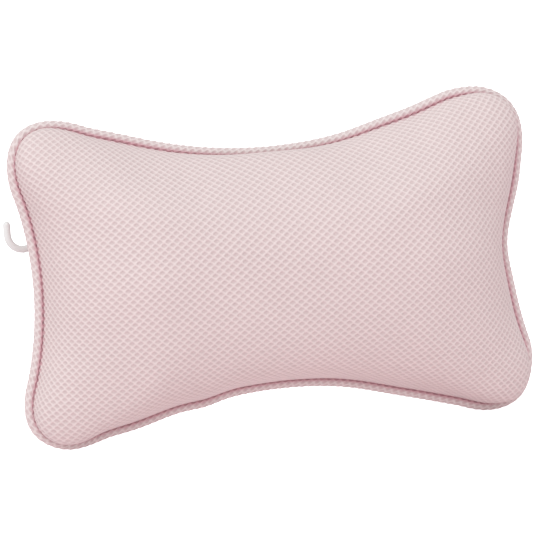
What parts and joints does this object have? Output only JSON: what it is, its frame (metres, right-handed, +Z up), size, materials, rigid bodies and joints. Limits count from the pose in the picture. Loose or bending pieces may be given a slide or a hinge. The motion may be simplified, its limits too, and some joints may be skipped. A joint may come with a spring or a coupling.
{
  "type": "bath pillow",
  "caption": "Bone-shaped bath pillow of crowned air-mesh panels with corded piping, held to the bath wall by suction cups, with a hook on a strap for hanging it up to dry.",
  "frame": {"origin": "middle of the four suction cup rims, on the plane of the bath wall", "axes": "+X to the right as seen from the front, +Y back towards the bath wall, +Z up"},
  "size_m": [0.32, 0.0938, 0.1996],
  "materials": {
    "air_mesh": "pale pink knitted spacer mesh with small open cells",
    "piping_mesh": "the same pale pink mesh, wrapped round a cord",
    "cord_yarn": "off-white twisted yarn",
    "fibre": "white polyester fibre",
    "patch_cloth": "pink plain-woven cloth",
    "clear_vinyl": "clear soft vinyl, glossy",
    "strap_tape": "pale pink woven tape",
    "hook_plastic": "off-white moulded plastic, satin"
  },
  "bodies": {
    "pillow": {"front_panel": "air_mesh", "back_panel": "air_mesh", "piping_cover": "piping_mesh", "piping_cord": "cord_yarn", "fibre_fill": "fibre", "cup_patch_upper_left": "patch_cloth", "cup_patch_upper_right": "patch_cloth", "cup_patch_lower_left": "patch_cloth", "cup_patch_lower_right": "patch_cloth"},
    "strap": {"hook_strap": "strap_tape"},
    "hook": {"hanging_hook": "hook_plastic"},
    "cup_upper_left": {"suction_cup_upper_left": "clear_vinyl"},
    "cup_upper_right": {"suction_cup_upper_right": "clear_vinyl"},
    "cup_lower_left": {"suction_cup_lower_left": "clear_vinyl"},
    "cup_lower_right": {"suction_cup_lower_right": "clear_vinyl"}
  },
  "joints": [
    {"name": "strap_fold", "type": "hinge", "parent": "pillow", "child": "strap", "pos_m": [-0.1384, -0.0313, 0.075], "axis": [0.8957, 0.4446, 0], "range_deg": [0, 100]},
    {"name": "hook_swing", "type": "hinge", "parent": "strap", "child": "hook", "pos_m": [-0.1384, -0.02246, 0.059], "axis": [1, 0, 0], "range_deg": [0, 90]},
    {"name": "cup_turn_upper_left", "type": "hinge", "parent": "pillow", "child": "cup_upper_left", "pos_m": [-0.08, 0, 0.038], "axis": [0, 1, 0], "continuous": true},
    {"name": "cup_turn_upper_right", "type": "hinge", "parent": "pillow", "child": "cup_upper_right", "pos_m": [0.08, 0, 0.038], "axis": [0, 1, 0], "continuous": true},
    {"name": "cup_turn_lower_left", "type": "hinge", "parent": "pillow", "child": "cup_lower_left", "pos_m": [-0.08, 0, -0.038], "axis": [0, 1, 0], "continuous": true},
    {"name": "cup_turn_lower_right", "type": "hinge", "parent": "pillow", "child": "cup_lower_right", "pos_m": [0.08, 0, -0.038], "axis": [0, 1, 0], "continuous": true}
  ]
}
